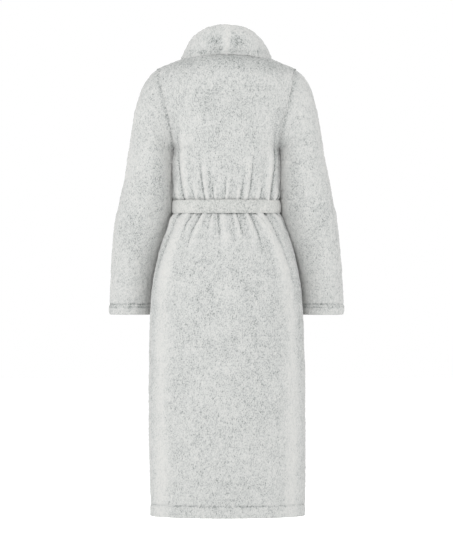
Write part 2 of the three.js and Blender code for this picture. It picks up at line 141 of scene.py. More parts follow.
def noise(points, size, seed):
    """Smooth random values from -1 to 1 that change over about size metres."""
    place = points / size + 1000
    cell = np.floor(place).astype(np.int64)
    part = place - cell
    part = part * part * (3 - 2 * part)
    total = np.zeros(points.shape[:-1])
    for corner in itertools.product((0, 1), repeat=3):
        share = np.where(corner, part, 1 - part).prod(axis=-1)
        total += share * lattice(cell + np.array(corner), seed)
    return total


# Pile

def pile_height(points, seed):
    """Clumped pile from 0, in the partings, to 1 at the tips. Clumps are taller than wide."""
    drawn = points * np.array([1, 1, 0.65])
    clumps = 1 - 2 * np.abs(noise(drawn, CLUMP, seed))
    tufts = noise(drawn, TUFT, seed + 1)
    fibres = noise(drawn, FIBRE, seed + 2)
    return np.clip(0.5 - 0.22 * clumps + 0.3 * tufts + 0.3 * fibres, 0, 1)


def nap_and_shading(points, height, parting_and_shading, seed):
    """How the pile lies, painted shade and highlight included: 1 where it is smooth and pale, 0 where
    it is parted down to its ground and where painted shade is darkest.
    """
    drift = 0.05 * noise(points, 0.020, seed + 3) + 0.05 * noise(points, 0.055, seed + 4)
    return np.clip(SMOOTH_NAP + drift + 0.24 * (height - 0.5) - 0.5 * parting_and_shading, 0, 1)


def grid_normals(points, around):
    if around:
        along_u = np.roll(points, -1, axis=1) - np.roll(points, 1, axis=1)
    else:
        along_u = np.gradient(points, axis=1)
    normals = np.cross(along_u, np.gradient(points, axis=0))
    return normals / np.linalg.norm(normals, axis=-1, keepdims=True).clip(1e-9)


def samples(length, step):
    """Shares from 0 to 1 along a length, with closer ones at both edges for a rounded rim."""
    count = max(2, round(length / step))
    inner = np.linspace(0, 1, count + 1)[1:-1]
    rim = np.array([0, 0.0007, 0.002]) / length
    inner = inner[(inner > rim[2] * 1.3) & (inner < 1 - rim[2] * 1.3)]
    return np.concatenate([rim, inner, 1 - rim[::-1]])


def edge_rounding(shape, along_u, along_v, around):
    """0 at the sheet's edges to 1 a cloth's half thickness from them, on a quarter circle."""
    radius = CLOTH / 2
    from_edge = np.minimum(along_v, along_v[-1] - along_v)[:, None] * np.ones(shape)
    if not around:
        from_edge = np.minimum(from_edge, np.minimum(along_u, along_u[-1] - along_u)[None, :])
    share = np.clip(from_edge / radius, 0, 1)
    return np.sqrt(1 - (1 - share) ** 2)


def sheet_object(name, points, inside, outside, sizes, around=False, folds=None, pile=PILE, seed=1):
    """A closed sheet of cloth on a grid of points, rows along v and columns along u.

    inside and outside are the depths of its two faces along the normals, sizes the positions of
    the columns and rows in metres, and folds gives (displacement, partings with painted shading) at
    the points.
    """
    parting_and_shading = np.zeros(points.shape[:-1])
    if folds is not None:
        raised, parting_and_shading = folds(points)
        points = points + grid_normals(points, around) * raised[..., None]
    normals = grid_normals(points, around)
    height = pile_height(points, seed)
    rounding = edge_rounding(points.shape[:-1], sizes[0], sizes[1], around)
    middle = (inside + outside) / 2
    top = outside + pile * (height - 0.5) * (1 - 0.4 * parting_and_shading)
    outer = points + normals * lerp(middle, top, rounding)[..., None]
    under = points + normals * lerp(middle, inside, rounding)[..., None]
    laid_and_shaded = nap_and_shading(points, height, parting_and_shading, seed)
    rows, columns = points.shape[:2]
    quads = grid_quads(rows, columns, around)
    count = rows * columns
    faces = np.concatenate([quads, quads[:, ::-1] + count, rim_quads(rows, columns, around, count)])
    vertices = np.concatenate([outer.reshape(-1, 3), under.reshape(-1, 3)])
    shade = np.concatenate([laid_and_shaded.ravel(), np.full(count, SMOOTH_NAP)])
    mesh = bpy.data.meshes.new(name)
    mesh.from_pydata(vertices, [], faces)
    return finish_mesh(mesh, shade)


def grid_quads(rows, columns, around):
    row = np.arange(rows - 1)[:, None] * columns
    column = np.arange(columns if around else columns - 1)[None, :]
    after = (column + 1) % columns
    corners = [row + column, row + after, row + columns + after, row + columns + column]
    return np.stack([corner.ravel() for corner in corners], axis=-1)


def rim_quads(rows, columns, around, count):
    """Faces that join the edge of the outer layer to the edge of the inner one."""
    across = np.arange(columns)
    last = (rows - 1) * columns
    if around:
        loops = [np.append(across, 0), np.append(last + across, last)[::-1]]
    else:
        up = np.arange(rows) * columns
        loops = [across, up + columns - 1, (last + across)[::-1], up[::-1]]
    quads = []
    for loop in loops:
        start = loop[:-1]
        end = loop[1:]
        quads.append(np.stack([end, start, start + count, end + count], axis=-1))
    return np.concatenate(quads)


def finish_mesh(mesh, shade):
    """An object from a mesh, with how the pile lies at each of its points, painted shade and highlight
    included, for the material to read.
    """
    mesh.attributes.new("nap_and_shading", "FLOAT", "POINT").data.foreach_set("value", shade.astype(np.float32))
    mesh.shade_smooth()
    obj = bpy.data.objects.new(mesh.name, mesh)
    bpy.context.scene.collection.objects.link(obj)
    return obj


# Materials

def new_material(name, roughness, sheen):
    material = bpy.data.materials.new(name)
    material.use_nodes = True
    shader = material.node_tree.nodes["Principled BSDF"]
    shader.inputs["Roughness"].default_value = roughness
    shader.inputs["Specular IOR Level"].default_value = 0.15
    shader.inputs["Sheen Weight"].default_value = sheen
    shader.inputs["Sheen Roughness"].default_value = 0.55
    return material, shader


def add_node(material, kind, **values):
    node = material.node_tree.nodes.new(kind)
    for name, value in values.items():
        if hasattr(node, name):
            setattr(node, name, value)
        else:
            node.inputs[name.replace("_", " ").title()].default_value = value
    return node


def join(material, start, end):
    material.node_tree.links.new(start, end)


def stretched_place(material, scale):
    """Object coordinates, drawn out along Z as the pile is."""
    place = add_node(material, "ShaderNodeTexCoord")
    mapping = add_node(material, "ShaderNodeMapping")
    mapping.inputs["Scale"].default_value = scale
    join(material, place.outputs["Object"], mapping.inputs["Vector"])
    return mapping.outputs["Vector"]


def added(material, first, second, share):
    """first + (second - 0.5) * share."""
    node = add_node(material, "ShaderNodeMath", operation="MULTIPLY_ADD")
    node.inputs[1].default_value = share
    total = add_node(material, "ShaderNodeMath", operation="ADD")
    join(material, second, node.inputs[0])
    node.inputs[2].default_value = -share / 2
    join(material, first, total.inputs[0])
    join(material, node.outputs[0], total.inputs[1])
    return total.outputs[0]


def plush_material(name, shades):
    """Frosted pile: a darker ground that shows as fine specks in the partings, under pale tips."""
    material, shader = new_material(name, 0.95, 0.2)
    laid_and_shaded = add_node(material, "ShaderNodeAttribute", attribute_name="nap_and_shading")
    place = stretched_place(material, (1, 1, 0.6))
    specks = add_node(material, "ShaderNodeTexNoise", scale=400.0, detail=3.0, roughness=0.7)
    streaks = add_node(material, "ShaderNodeTexNoise", scale=170.0, detail=2.0, distortion=1.2)
    for texture in (specks, streaks):
        join(material, place, texture.inputs["Vector"])
    value = added(material, laid_and_shaded.outputs["Fac"], specks.outputs["Fac"], 1.8)
    value = added(material, value, streaks.outputs["Fac"], 0.4)
    ramp = add_node(material, "ShaderNodeValToRGB")
    for position, _ in shades[2:]:
        ramp.color_ramp.elements.new(position)
    for element, (position, color) in zip(ramp.color_ramp.elements, shades):
        element.position = position
        element.color = (*color, 1)
    join(material, value, ramp.inputs["Fac"])
    join(material, ramp.outputs["Color"], shader.inputs["Base Color"])
    relief = add_node(material, "ShaderNodeBump", strength=0.7, distance=0.001)
    join(material, specks.outputs["Fac"], relief.inputs["Height"])
    join(material, relief.outputs["Normal"], shader.inputs["Normal"])
    return material


def tape_material(name, color, roughness, threads):
    """Woven tape: fine crossing threads with slight changes of colour."""
    material, shader = new_material(name, roughness, 0.1)
    place = stretched_place(material, (1, 1, 1))
    across = add_node(material, "ShaderNodeTexWave", scale=threads, bands_direction="Z")
    along = add_node(material, "ShaderNodeTexWave", scale=threads, bands_direction="X")
    both = add_node(material, "ShaderNodeMath", operation="MULTIPLY")
    for k, wave in enumerate((across, along)):
        join(material, place, wave.inputs["Vector"])
        join(material, wave.outputs["Fac"], both.inputs[k])
    ramp = add_node(material, "ShaderNodeValToRGB")
    ramp.color_ramp.elements[0].color = (*(0.82 * part for part in color), 1)
    ramp.color_ramp.elements[1].color = (*color, 1)
    join(material, both.outputs[0], ramp.inputs["Fac"])
    join(material, ramp.outputs["Color"], shader.inputs["Base Color"])
    relief = add_node(material, "ShaderNodeBump", strength=0.5, distance=0.0003)
    join(material, both.outputs[0], relief.inputs["Height"])
    join(material, relief.outputs["Normal"], shader.inputs["Normal"])
    return material


plush = plush_material("plush", [
    (0.0, (0.085, 0.093, 0.088)),
    (0.25, (0.206, 0.218, 0.212)),
    (0.50, (0.362, 0.371, 0.364)),
    (0.70, (0.430, 0.433, 0.424)),
    (1.0, (0.470, 0.468, 0.452)),
])
belt_plush = plush_material("belt_plush", [
    (0.0, (0.110, 0.118, 0.112)),
    (0.25, (0.240, 0.250, 0.242)),
    (0.50, (0.365, 0.372, 0.360)),
    (0.70, (0.430, 0.432, 0.418)),
    (1.0, (0.480, 0.476, 0.456)),
])
tape = tape_material("tape", (0.52, 0.52, 0.50), 0.85, 220.0)
loop_cord = tape_material("loop_cord", (0.24, 0.245, 0.238), 0.9, 300.0)
label_cloth = tape_material("label_cloth", (0.64, 0.635, 0.615), 0.5, 420.0)


# Camera, light and floor

CAMERA_DISTANCE = 11.0
VIEW_HEIGHT = 1.436  # height of the view at the robe's back
VIEW_MIDDLE_Z = -0.568
NEAR_SURFACE_Y = 0.07
SENSOR_HEIGHT = 24
LIT_PLACE = (0, 0, -0.6)  # the lights face this place
FLOOR_DROP = 0.15  # the floor's depth under the hem
FLOOR_SIZE = 40


def make_camera():
    data = bpy.data.cameras.new("camera")
    data.sensor_fit = "VERTICAL"
    data.sensor_height = SENSOR_HEIGHT
    data.lens = data.sensor_height * (CAMERA_DISTANCE - NEAR_SURFACE_Y) / VIEW_HEIGHT
    camera = bpy.data.objects.new("camera", data)
    camera.location = (0, CAMERA_DISTANCE, VIEW_MIDDLE_Z)
    camera.rotation_euler = (math.radians(90), 0, math.radians(180))
    bpy.context.scene.collection.objects.link(camera)
    bpy.context.scene.camera = camera


def make_area_light(name, place, size, watts):
    data = bpy.data.lights.new(name, "AREA")
    data.shape = "SQUARE"
    data.size = size
    data.energy = watts
    light = bpy.data.objects.new(name, data)
    light.location = place
    towards = np.array(LIT_PLACE) - np.array(place)
    light.rotation_euler = (
        math.acos(-towards[2] / np.linalg.norm(towards)),
        0,
        math.atan2(towards[1], towards[0]) - math.pi / 2,
    )
    bpy.context.scene.collection.objects.link(light)


def make_studio():
    bpy.context.scene.view_settings.view_transform = "Standard"
    world = bpy.data.worlds.new("studio")
    world.use_nodes = True
    world.node_tree.nodes["Background"].inputs["Color"].default_value = (1, 1, 1, 1)
    world.node_tree.nodes["Background"].inputs["Strength"].default_value = 1.0
    bpy.context.scene.world = world
    make_area_light("key", (0.9, 4.8, 0.9), 1.8, 118)
    make_area_light("left_side", (3.4, 1.0, 0.8), 1.2, 24)
    make_area_light("right_side", (-3.4, 1.0, 0.8), 1.2, 24)
    make_area_light("front_fill", (-0.8, -3.6, 0.6), 1.6, 80)
    bpy.ops.mesh.primitive_plane_add(size=FLOOR_SIZE, location=(0, 0, HEM_Z - FLOOR_DROP))
    floor = bpy.context.object
    floor.name = "floor"
    material, shader = new_material("floor", 0.9, 0)
    shader.inputs["Base Color"].default_value = (0.93, 0.93, 0.93, 1)
    shader.inputs["Emission Color"].default_value = (1, 1, 1, 1)
    shader.inputs["Emission Strength"].default_value = 0.12
    floor.data.materials.append(material)


make_camera()
make_studio()


# Shape of the body, as in the frame: each curve is given as (height, value) pairs

body_half_width = curve_through([
    (HEM_Z, 0.204), (-0.953, 0.208), (-0.776, 0.206), (-0.634, 0.200), (-0.542, 0.186),
    (-0.460, 0.162), (-0.416, 0.1385), (WAIST_Z, 0.137), (-0.374, 0.137), (-0.338, 0.138),
    (UNDERARM_Z, 0.1415),
])
half_depth = curve_through([
    (HEM_Z, 0.150), (-0.776, 0.149), (-0.634, 0.144), (-0.542, 0.134), (-0.460, 0.118),
    (-0.416, 0.104), (WAIST_Z, 0.103), (-0.374, 0.103), (-0.338, 0.105), (UNDERARM_Z, 0.112),
    (-0.150, 0.117), (SHOULDER_START, 0.108),
])
armhole_x = curve_through([
    (UNDERARM_Z, 0.1415), (-0.172, 0.151), (-0.130, 0.162), (SHOULDER_START, 0.174),
    (SHOULDER_Z, SHOULDER_X),
])
v_neck_reach = curve_through([
    (-0.440, -OVERLAP), (-0.377, -0.042), (-0.330, 0), (-0.290, 0.014), (SHOULDER_START, 0.051),
    (SHOULDER_NECK_Z, NECK_HALF_WIDTH),
])


def armhole_y(z):
    middle = (SHOULDER_Z + UNDERARM_Z) / 2
    height = (z - middle) / ((SHOULDER_Z - UNDERARM_Z) / 2)
    return ARMHOLE_HALF_DEPTH * np.sqrt(np.clip(1 - height**2, 0, 1))


def side_angle(z):
    return np.where(z < UNDERARM_Z, math.pi / 2, np.arccos(armhole_y(z) / half_depth(z)))


def section_half_width(z):
    return np.where(z < UNDERARM_Z, body_half_width(z), armhole_x(z) / np.sin(side_angle(z)))


def overlap_lift(x, z):
    """How far the right front stands off the body where it lies over the left one."""
    return OVERLAP_LIFT * smoothstep(x, -0.080, -0.064) * smoothstep(-z, 0.275, 0.318)


def shoulder_seam(share, y):
    x = lerp(NECK_HALF_WIDTH, SHOULDER_X, share)
    return vectors(x, y, lerp(SHOULDER_NECK_Z, SHOULDER_Z, share))


def back_top(share):
    turn = np.clip(share / NECK_SHARE, 0, 1) * math.pi / 2
    neck = vectors(
        NECK_HALF_WIDTH * np.sin(turn),
        lerp(SEAM_Y, NECK_BACK, np.cos(turn)),
        lerp(NECK_BACK_Z, SHOULDER_NECK_Z, share / NECK_SHARE),
    )
    shoulder = shoulder_seam((share - NECK_SHARE) / (1 - NECK_SHARE), SEAM_Y)
    return np.where((share < NECK_SHARE)[..., None], neck, shoulder)


def front_top(share):
    return shoulder_seam(share, -SEAM_Y)


def body_points(face, share, level, reach, top, lift=0.0):
    """Points of the body's outer surface. share runs from a panel's inner edge to its side or
    armhole, and level is the height up to SHOULDER_START, then closes over the shoulder to 0."""
    z = np.minimum(level, SHOULDER_START)
    a = section_half_width(z) + lift
    b = half_depth(z) + lift
    angle = lerp(np.arcsin(reach(z) / a), side_angle(z), share)
    low = vectors(a * np.sin(angle), face * b * np.cos(angle), z)
    high = top(share)
    turn = np.clip(1 - level / SHOULDER_START, 0, 1) * math.pi / 2
    return vectors(
        lerp(high[..., 0], low[..., 0], np.cos(turn)),
        lerp(high[..., 1], low[..., 1], np.cos(turn)),
        lerp(low[..., 2], high[..., 2] + lift, np.sin(turn)),
    )


def back_points(share, level, lift=0.0):
    points = body_points(1, np.abs(share), level, np.zeros_like, back_top, lift)
    points[..., 0] *= np.where(share < 0, -1, 1)
    return points


def front_points(share, level, lift=0.0):
    return body_points(-1, share, level, v_neck_reach, front_top, lift)


def around_points(angle, z, lift=0.0):
    """Points round the body: angle 0 is the middle of the front, a quarter turn +X."""
    a = section_half_width(z) + lift
    b = half_depth(z) + lift
    return vectors(a * np.sin(angle), -b * np.cos(angle), z)


def mirrored(points):
    """The same grid on the other side of the robe, still facing out."""
    return points[:, ::-1] * np.array([-1, 1, 1])


# Folds and seams

STITCH_LENGTH = 0.006
STITCH_HALF_WIDTH = 0.0022
STITCH_ROW_GAP = 0.007

# Ridges that run from the belt: x where each leaves it and where it ends, the height it ends at,
# its half width and how far it stands up.
RIDGES_ABOVE = [
    (0.104, 0.117, -0.150, 0.0065, 0.0055),
    (-0.106, -0.117, -0.150, 0.0065, 0.0055),
    (0.050, 0.060, -0.235, 0.006, 0.0046),
    (-0.050, -0.060, -0.235, 0.006, 0.0046),
    (0.0005, -0.006, -0.290, 0.004, 0.0034),
    (0.028, 0.030, -0.325, 0.004, 0.0022),
    (-0.030, -0.034, -0.315, 0.005, 0.0026),
    (0.078, 0.084, -0.320, 0.005, 0.0024),
    (-0.080, -0.086, -0.320, 0.005, 0.0024),
    (0.126, 0.129, -0.315, 0.004, 0.0026),
    (-0.125, -0.128, -0.315, 0.004, 0.0026),
]
RIDGES_BELOW = [
    (0.104, 0.172, -0.660, 0.012, 0.0065),
    (-0.086, -0.160, -0.660, 0.012, 0.0065),
    (0.056, 0.092, -0.530, 0.007, 0.0050),
    (-0.050, -0.080, -0.530, 0.007, 0.0050),
    (0.012, 0.000, -0.530, 0.009, 0.0030),
    (0.034, 0.042, -0.480, 0.004, 0.0030),
    (-0.020, -0.034, -0.500, 0.005, 0.0034),
    (0.080, 0.104, -0.470, 0.004, 0.0030),
    (-0.068, -0.100, -0.470, 0.004, 0.0028),
    (0.126, 0.154, -0.480, 0.005, 0.0030),
    (-0.118, -0.152, -0.480, 0.005, 0.0030),
]


def ridges(x, z, rows, edge_z):
    """Rounded ridges, strongest near the belt, each with a sharp valley on its outer side. Gives
    how far the cloth is raised and how dark its pile is made: painted shade in each valley, where the
    pile also parts, and a painted highlight on each crest; less than 0 is lighter."""
    raised = np.zeros_like(x)
    parting_and_shading = np.zeros_like(x)
    for start_x, end_x, end_z, half_width, height in rows:
        along = np.clip((z - edge_z) / (end_z - edge_z), 0, 1)
        strength = 1 - smoothstep(along, 0.35, 1.0)
        centre = lerp(start_x, end_x, 1 - (1 - along) ** 2)
        across = (x - centre) / (half_width * (1 + 0.8 * along))
        outward = math.copysign(1, start_x)
        valley = bump(across - 1.25 * outward, 0.26) + 0.15 * bump(across + 1.4 * outward, 0.4)
        raised += height * strength * (bump(across, 0.95) - 0.6 * valley)
        sharpness = min(1, 0.006 / half_width)
        # painted shade in the valley, where the pile also parts, and a painted highlight along the
        # crest
        parting_and_shading += strength * (0.75 * sharpness * valley - 0.46 * bump(across, 0.80))
    return raised, parting_and_shading


def upright(x, y):
    """Points that don't change with height, so that a pattern drawn on them stands upright."""
    return vectors(x, y, np.zeros_like(x))


def spot(points, x, z, half_width, half_height):
    """1 at a place on both sides of the middle, fading outwards from it."""
    across = (np.abs(points[..., 0]) - x) / half_width
    up = (points[..., 2] - z) / half_height
    return np.exp(-(across**2) - up**2)


def waist_folds(x, y, z, dashes):
    """The gathers above and below the belt, and the cloth that is pressed in under it."""
    above = z > WAIST_Z
    raised_up, parted_and_shaded_up = ridges(x, z, RIDGES_ABOVE, BELT_TOP_Z)
    raised_down, parted_and_shaded_down = ridges(x, z, RIDGES_BELOW, BELT_LOW_Z)
    raised = np.where(above, raised_up, raised_down)
    parting_and_shading = np.where(above, parted_and_shaded_up, parted_and_shaded_down)
    # small gathers all along the belt's edges, with painted shade in their hollows
    from_belt = np.abs(z - WAIST_Z) - BELT_WIDTH / 2
    near_belt = np.exp(-np.clip(from_belt, 0, None) / 0.022)
    gather = noise(upright(x, y), 0.009, 31) * near_belt
    raised = raised + 0.0022 * gather
    parting_and_shading = parting_and_shading + 0.25 * np.clip(-gather, 0, 1)
    # the pressed-in cloth, and a dashed dark line along the belt's lower edge: the seam's parted pile
    # with the belt's painted shadow
    side = smoothstep(np.abs(x), 0.100, 0.137)
    raised = raised - 0.0018 * (1 - side) * (1 - smoothstep(from_belt, -0.002, 0.008))
    parting_and_shading = parting_and_shading + 0.9 * dashes * bump(z - BELT_LOW_Z + 0.001, 0.003)
    # the cloth on both sides of the belt blouses out against the sleeves
    blouse = smoothstep(-z, -UNDERARM_Z, 0.285) * (1 - smoothstep(-z, 0.366, 0.384))
    return raised + side * (0.0065 * blouse + 0.0060 * bump(z + 0.426, 0.017)), parting_and_shading


def skirt_folds(points):
    """Long soft folds in the skirt, with a painted highlight along both its sides and painted shade
    just outside it.
    """
    x, y, z = (points[..., k] for k in range(3))
    drop = smoothstep(-z, 0.50, 0.85)
    raised = 0.004 * drop * noise(vectors(x, y, 0.3 * z), 0.070, 32)
    raised = raised + 0.0016 * noise(points, 0.055, 33)
    skirt = smoothstep(-z, 0.45, 0.60)
    side_place = np.abs(x) / body_half_width(z)
    parting_and_shading = 0.07 * bump(z + 0.66, 0.18)
    # painted highlight along both sides of the skirt, with a strip of painted shade just outside it
    parting_and_shading = parting_and_shading - 0.42 * skirt * bump(side_place - 0.84, 0.085)
    return raised, parting_and_shading + 0.10 * skirt * bump(side_place - 0.955, 0.04)


def upper_partings_and_shading(points):
    """How much the pile is darkened above the waist, less than 0 lightened: painted shade beside each
    armhole and under the collar, a painted highlight on the folds at the sides, darker pile on the
    shoulder blades and a dark mark at each shoulder point.
    """
    # painted shade beside the armholes, where the sleeves meet the body
    armhole_shade = 0.18 * spot(points, 0.138, -0.205, 0.012, 0.060)
    shoulder_blades = 0.16 * spot(points, 0.045, -0.125, 0.045, 0.055)
    # painted shade under the collar
    under_collar_shade = 0.22 * smoothstep(points[..., 2], -0.050, -0.012)
    # painted highlight on the folds at the sides of the back
    painted_side_highlights = -0.15 * spot(points, 0.100, -0.200, 0.022, 0.080)
    shoulder_points = 0.9 * spot(points, SHOULDER_X - 0.003, SHOULDER_Z - 0.004, 0.004, 0.007)
    return armhole_shade + shoulder_blades + under_collar_shade + painted_side_highlights + shoulder_points


def body_folds(points):
    x, y, z = (points[..., k] for k in range(3))
    dashes = 0.5 + 0.5 * noise(upright(x, y), STITCH_LENGTH, 34)
    waist_raised, waist_parting_and_shading = waist_folds(x, y, z, dashes)
    skirt_raised, skirt_shading = skirt_folds(points)
    # turned-up hem with its stitch line
    stitch = bump(z - HEM_TOP_Z, STITCH_HALF_WIDTH)
    raised = waist_raised + skirt_raised - 0.0022 * stitch + 0.0012 * (z < HEM_TOP_Z)
    parting_and_shading = waist_parting_and_shading + skirt_shading + upper_partings_and_shading(points) + 0.8 * dashes * stitch
    return raised, parting_and_shading


# Body panels

UPPER_BACK_STEP = 0.0024  # spacing of the mesh on each panel
SKIRT_STEP = 0.0032
FRONT_STEP = 0.0038
SHOULDER_STRETCH = 1.7  # cloth above SHOULDER_START for each metre of its levels
UPPER_BACK_WIDTH = 0.43
SKIRT_WIDTH = 0.56
FRONT_WIDTH = 0.34


def levels(low, high, step):
    """Rows from low to high; above SHOULDER_START a level covers more cloth than its height."""
    length = (min(high, SHOULDER_START) - low) + max(0, high - SHOULDER_START) * SHOULDER_STRETCH
    along = samples(length, step) * length
    bend = SHOULDER_START - low
    over = SHOULDER_START + (along - bend) / SHOULDER_STRETCH
    return np.where(along < bend, low + along, over), along


def back_piece(name, low, high, width, step, seed):
    level, along = levels(low, high, step)
    across = samples(width, step)
    share = lerp(1, -1, across)[None, :] * np.ones((len(level), 1))
    points = back_points(share, level[:, None] * np.ones_like(share))
    sizes = (across * width, along)
    obj = sheet_object(name, points, -CLOTH, 0, sizes, folds=body_folds, seed=seed)
    finish_sheet(obj, plush, "robe_body")
    return obj


def front_grid():
    level, along = levels(HEM_Z, 0, FRONT_STEP)
    across = samples(FRONT_WIDTH, FRONT_STEP)
    share = across[None, :] * np.ones((len(level), 1))
    return share, level[:, None] * np.ones_like(share), (across * FRONT_WIDTH, along)


def left_front():
    share, level, sizes = front_grid()
    points = front_points(share, level)
    obj = sheet_object("left_front_cloth", points, -CLOTH, 0, sizes, folds=body_folds, seed=5)
    finish_sheet(obj, plush, "robe_body")
    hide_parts("left_front_panel", "left_front_hem")


def right_front():
    share, level, sizes = front_grid()
    flat = front_points(share, level)
    points = mirrored(front_points(share, level, overlap_lift(-flat[..., 0], flat[..., 2])))
    obj = sheet_object("right_front_cloth", points, -CLOTH, 0, sizes, folds=body_folds, seed=6)
    finish_sheet(obj, plush)
    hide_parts("right_front_panel", "right_front_hem", "right_front_corner", "right_corner_hem")
    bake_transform(obj)


def finish_sheet(obj, material, body=None):
    obj.data.materials.append(material)
    if body is not None:
        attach(obj, body)


# Sleeves: rings from the armhole to the cuff, each between an outer and an inner point

RING_SHARES = np.linspace(0, 1, 9)  # places of the rings, from the sleeve head to the cuff


def ring_curve(values):
    return curve_through(list(zip(RING_SHARES, values)))


outer_x = ring_curve([0.243, 0.252, 0.262, 0.276, 0.293, 0.306, 0.311, 0.313, 0.314])
outer_z = ring_curve([-0.146, -0.200, -0.262, -0.335, -0.420, -0.515, -0.600, -0.654, CUFF_Z])
inner_x = ring_curve([0.142, 0.140, 0.139, 0.139, 0.1455, 0.173, 0.191, 0.196, 0.198])
inner_z = ring_curve([-0.247, -0.273, -0.315, -0.367, -0.437, -0.522, -0.603, -0.655, CUFF_Z])
ring_depth = ring_curve([0.058, 0.064, 0.069, 0.072, 0.071, 0.068, 0.066, 0.065, 0.065])
middle_y = ring_curve([-0.001, -0.004, -0.010, -0.020, -0.036, -0.060, -0.076, -0.084, -0.088])
CUFF_START = 7 / 8  # place of the cuff's upper edge
SLEEVE_LENGTH = 0.56
HEAD_LENGTH = 0.075
SLEEVE_STEP = 0.003
SLEEVE_COLUMNS = 132
SLEEVE_TUCK = 0.007  # how far the sleeve head reaches in under the panels' edges
CROWN = 0.015  # how far the sleeve head swells, and the direction it swells in
CROWN_DIRECTION = np.array([0.89, 0, 0.46])


def inner_edge(z):
    """x of the side of the sleeve that lies against the body, at a height."""
    return np.interp(-z, -inner_z(RING_SHARES), inner_x(RING_SHARES))


def sleeve_points(turn, along):
    """The sleeve's surface: turn goes round a ring from its outer point, along from head to cuff."""
    reach = np.cos(turn)
    return vectors(
        lerp(inner_x(along), outer_x(along), (1 + reach) / 2),
        middle_y(along) + ring_depth(along) * np.sin(turn),
        lerp(inner_z(along), outer_z(along), (1 + reach) / 2),
    )


def armhole_points(turn):
    """The panels' edge round the armhole, which closes over the shoulder above SHOULDER_START."""
    middle = (SHOULDER_Z + UNDERARM_Z) / 2
    z = middle + (SHOULDER_Z - UNDERARM_Z) / 2 * np.cos(turn)
    over = np.clip((z - SHOULDER_START) / (SHOULDER_Z - SHOULDER_START), 0, 1)
    low = np.minimum(z, SHOULDER_START)
    x = lerp(SHOULDER_X, armhole_x(low), np.sqrt(1 - over**2))
    y = lerp(SEAM_Y, armhole_y(low), np.sqrt(1 - over**2)) - 0.0005
    return vectors(x - SLEEVE_TUCK, y * np.sign(np.sin(turn)), z - 0.001 * np.cos(turn))


def head_points(turn, along):
    """The sleeve head, from the armhole to the sleeve's first ring."""
    points = lerp(armhole_points(turn), sleeve_points(turn, 0 * turn), along[..., None])
    crown = CROWN * np.sin(math.pi * along**0.72) * (0.5 + 0.5 * np.cos(turn))
    return points + crown[..., None] * CROWN_DIRECTION


def sleeve_folds(points):
    x, y, z = (points[..., k] for k in range(3))
    raised = 0.0022 * noise(points * np.array([1, 1, 0.8]), 0.05, 41)
    crease = noise(points + 0.35 * vectors(z, 0 * x, -np.abs(x)), 0.035, 42)
    elbow = bump(z + 0.42, 0.16)
    raised = raised + 0.0024 * elbow * crease
    cuff_top = lerp(inner_z(CUFF_START), outer_z(CUFF_START), 0.5)
    stitch = bump(z - cuff_top, 0.0028)
    raised = raised - 0.0026 * stitch + 0.0012 * (z < cuff_top)
    # the seam groove at the armhole, with the pile parted beside it
    seam = bump(np.abs(x) - armhole_x(np.clip(z, UNDERARM_Z, SHOULDER_Z)) - 0.003, 0.006)
    seam = seam * (z > UNDERARM_Z - 0.01)
    # two rows of stitches, sunk in the pile so that they show in dashes
    dashes = 0.55 + 0.45 * noise(upright(x, y), STITCH_LENGTH, 43)
    upper_row = bump(z - cuff_top, STITCH_HALF_WIDTH)
    lower_row = bump(z - cuff_top + STITCH_ROW_GAP, STITCH_HALF_WIDTH)
    parting_and_shading = 0.9 * dashes * (upper_row + lower_row)
    # painted shade in the hollows of the elbow's creases
    parting_and_shading = parting_and_shading + 0.4 * seam + 0.15 * np.clip(-crease, 0, 1) * elbow - 0.07
    # painted shade down the inner side of the sleeve and darker pile in its middle at the elbow; a
    # painted highlight at its outer edge, and below the underarm painted light along its inner edge
    # against the body's shade
    parting_and_shading = parting_and_shading + 0.16 * spot(points, 0.178, -0.300, 0.018, 0.090)
    parting_and_shading = parting_and_shading + 0.09 * spot(points, 0.240, -0.440, 0.026, 0.120)
    parting_and_shading = parting_and_shading - 0.16 * spot(points, 0.262, -0.230, 0.018, 0.120)
    # painted light that lifts the shade the body casts on the sleeve's inner edge
    parting_and_shading = parting_and_shading - 0.45 * bump(np.abs(x) - inner_edge(z), 0.018) * (z < UNDERARM_Z)
    # the cuff's turned edge is rounded in at its corners
    corner = bump(np.abs(x) - outer_x(1), 0.010) * bump(z - CUFF_Z, 0.007)
    return raised - 0.004 * corner, parting_and_shading


def sleeve(side, seed):
    around = np.arange(SLEEVE_COLUMNS) / SLEEVE_COLUMNS
    head = samples(HEAD_LENGTH, SLEEVE_STEP) * HEAD_LENGTH
    tube = np.arange(1, round(SLEEVE_LENGTH / SLEEVE_STEP) + 1) * SLEEVE_STEP
    along = np.concatenate([head[head < HEAD_LENGTH - SLEEVE_STEP / 2], HEAD_LENGTH + tube])
    turn = (-around * 2 * math.pi)[None, :] * np.ones((len(along), 1))
    down = along[:, None] * np.ones_like(turn)
    on_head = head_points(turn, np.clip(down / HEAD_LENGTH, 0, 1))
    last = along[-1] - HEAD_LENGTH
    on_tube = sleeve_points(turn, np.clip((down - HEAD_LENGTH) / last, 0, 1))
    points = np.where((down < HEAD_LENGTH)[..., None], on_head, on_tube)
    if side == "right":
        points = mirrored(points)
    sizes = (around, along)
    name = side + "_sleeve_cloth"
    obj = sheet_object(name, points, -CLOTH, 0, sizes, around=True, folds=sleeve_folds, seed=seed)
    finish_sheet(obj, plush)
    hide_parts(side + "_sleeve_head", side + "_sleeve", side + "_cuff_hem")
    inner = float(armhole_x(UNDERARM_Z))
    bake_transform(obj)


# Shawl collar

